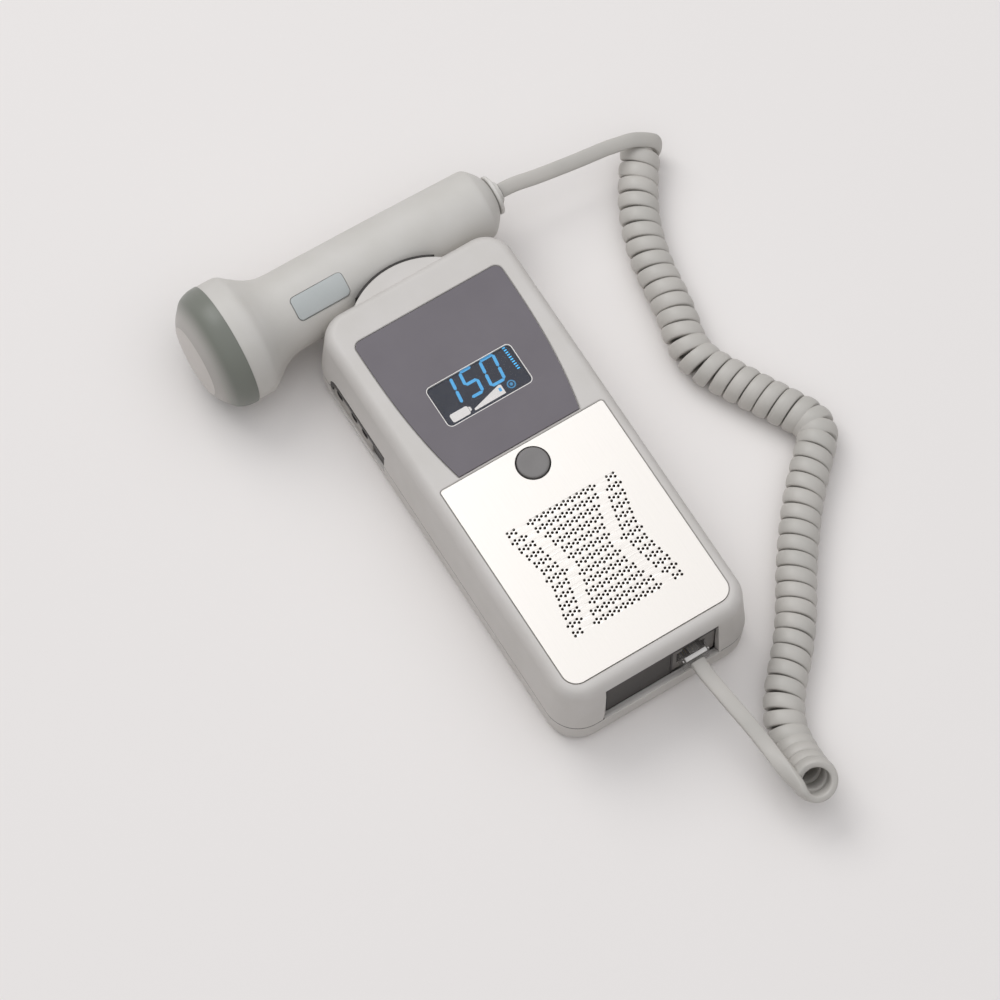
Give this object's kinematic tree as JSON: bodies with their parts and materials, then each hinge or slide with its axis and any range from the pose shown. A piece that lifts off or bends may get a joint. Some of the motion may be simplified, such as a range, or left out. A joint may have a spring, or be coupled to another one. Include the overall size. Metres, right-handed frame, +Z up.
{
  "type": "fetal doppler monitor",
  "caption": "Pocket fetal heart-rate monitor with a screen, a perforated speaker plate and a hand-held ultrasound probe on a curly cord, held across the top of the case.",
  "frame": {"origin": "middle of the case's back face, which lies on the table", "axes": "+Y along the case towards the probe, +X across the case towards the probe's cord end, +Z up out of the screen"},
  "size_m": [0.1767, 0.2535, 0.0426],
  "materials": {
    "shell": "moulded ABS, fine satin texture",
    "plate": "bright aluminium sheet, pierced",
    "panel": "dark grey trim, satin",
    "screen": "liquid crystal glass in a dark frame",
    "clear": "clear acrylic",
    "button": "moulded, satin",
    "dark": "dark grey moulded plastic",
    "black": "black moulded plastic",
    "board": "glass-fibre circuit board with green resist",
    "steel": "zinc-plated steel",
    "brass": "plated spring brass",
    "cell": "steel can in a plain sleeve",
    "probe": "moulded ABS, fine satin texture",
    "cap": "dark grey moulded ring, soft gloss",
    "face": "cast epoxy lens, satin",
    "label": "blank polycarbonate plate",
    "cord": "soft grey cord jacket",
    "ceramic": "fired piezo ceramic, matt",
    "resin": "cast backing resin",
    "cloth": "thin black speaker cloth"
  },
  "bodies": {
    "case": {"front_shell": "shell", "rear_shell": "shell", "grille_plate": "plate", "display_panel": "panel", "screen_window": "clear", "display_module": "screen", "push_switch": "black", "speaker": "black", "grille_cloth": "cloth", "main_board": "board", "battery_box": "dark", "battery_cell_left": "cell", "battery_cell_right": "cell", "battery_spring_left": "brass", "battery_spring_right": "brass", "battery_contact_left": "brass", "battery_contact_right": "brass", "end_blank": "dark", "cord_socket": "dark", "socket_wires": "brass", "modular_plug": "clear", "side_panel": "shell", "headphone_socket": "black", "recorder_socket": "black", "charger_socket": "black", "volume_control": "dark", "cord_coil": "cord", "cord_probe_lead": "cord", "cord_plug_lead": "cord", "case_screw_1": "steel", "case_screw_2": "steel", "case_screw_3": "steel", "case_screw_4": "steel", "plug_blade_1": "brass", "plug_blade_2": "brass", "plug_blade_3": "brass", "plug_blade_4": "brass", "plug_blade_5": "brass", "plug_blade_6": "brass"},
    "power_button": {"power_button": "button"},
    "volume_wheel": {"volume_wheel": "black"},
    "probe": {"probe_housing": "probe", "label_plate": "label", "probe_cap": "cap", "lens_face": "face", "transmit_crystal": "ceramic", "receive_crystal": "ceramic", "crystal_backing": "resin", "probe_board": "board", "cord_gland": "probe"},
    "battery_door": {"battery_door": "shell"}
  },
  "joints": [
    {"name": "power_button_press", "type": "slide", "parent": "case", "child": "power_button", "axis": [0, 0, -1], "range_m": [0, 0.0008], "stiffness_N_per_m": 400, "springref_m": -0.001},
    {"name": "volume_wheel_turn", "type": "hinge", "parent": "case", "child": "volume_wheel", "pos_m": [-0.0299, 0.0366, 0.012], "axis": [0, 0, 1], "range_deg": [-135, 135]},
    {"name": "probe_lift", "type": "slide", "parent": "case", "child": "probe", "axis": [0, 1, 0], "range_m": [0, 0.015]},
    {"name": "battery_door_off", "type": "slide", "parent": "case", "child": "battery_door", "axis": [0, 0, -1], "range_m": [0, 0.015]}
  ]
}
